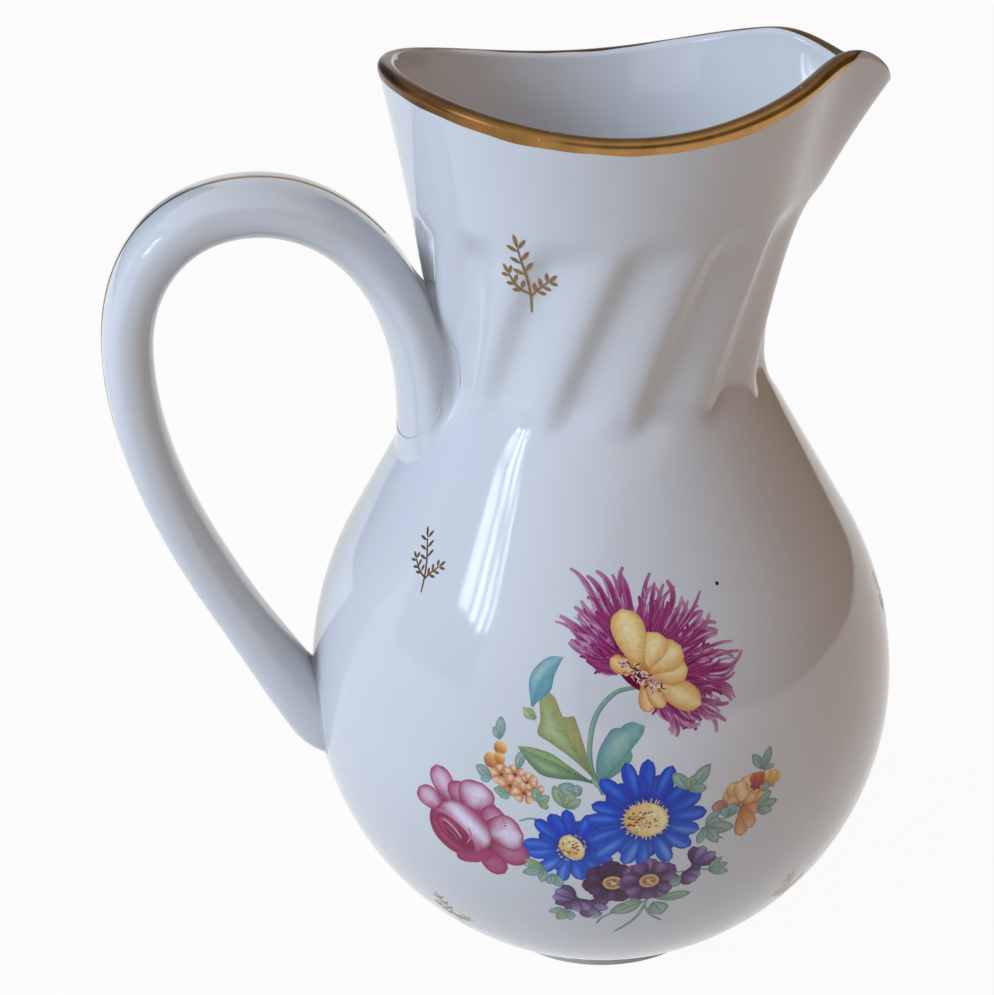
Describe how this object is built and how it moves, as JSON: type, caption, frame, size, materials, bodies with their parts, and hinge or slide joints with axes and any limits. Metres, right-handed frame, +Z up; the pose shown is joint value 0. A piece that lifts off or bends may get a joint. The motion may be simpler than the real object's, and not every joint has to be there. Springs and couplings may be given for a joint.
{
  "type": "milk jug",
  "caption": "Round-bellied glazed jug with a twisted fluted neck, a wavy gilt rim drawn out into a small beak, and a looped strap handle stuck to neck and belly.",
  "frame": {"origin": "middle of the foot ring on the table plane", "axes": "+Z up, +X towards the spout, the handle at -X"},
  "size_m": [0.1541, 0.117, 0.1843],
  "materials": {
    "glazed_body": "clear gloss glaze over white clay",
    "glazed_handle": "clear gloss glaze over white clay",
    "slip": "fired slip under the glaze",
    "gilt": "worn burnished gold lustre",
    "blue_enamel": "fired overglaze enamel",
    "pink_enamel": "fired overglaze enamel",
    "yellow_enamel": "fired overglaze enamel",
    "orange_enamel": "fired overglaze enamel",
    "violet_enamel": "fired overglaze enamel",
    "green_enamel": "fired overglaze enamel"
  },
  "bodies": {
    "root": {"jug_body": "glazed_body", "handle": "glazed_handle", "upper_lute": "slip", "lower_lute": "slip", "gilt_rim": "gilt", "gilt_handle_line": "gilt", "blue_enamel": "blue_enamel", "pink_enamel": "pink_enamel", "yellow_enamel": "yellow_enamel", "orange_enamel": "orange_enamel", "violet_enamel": "violet_enamel", "green_enamel": "green_enamel", "gilt_sprigs": "gilt"}
  },
  "joints": []
}
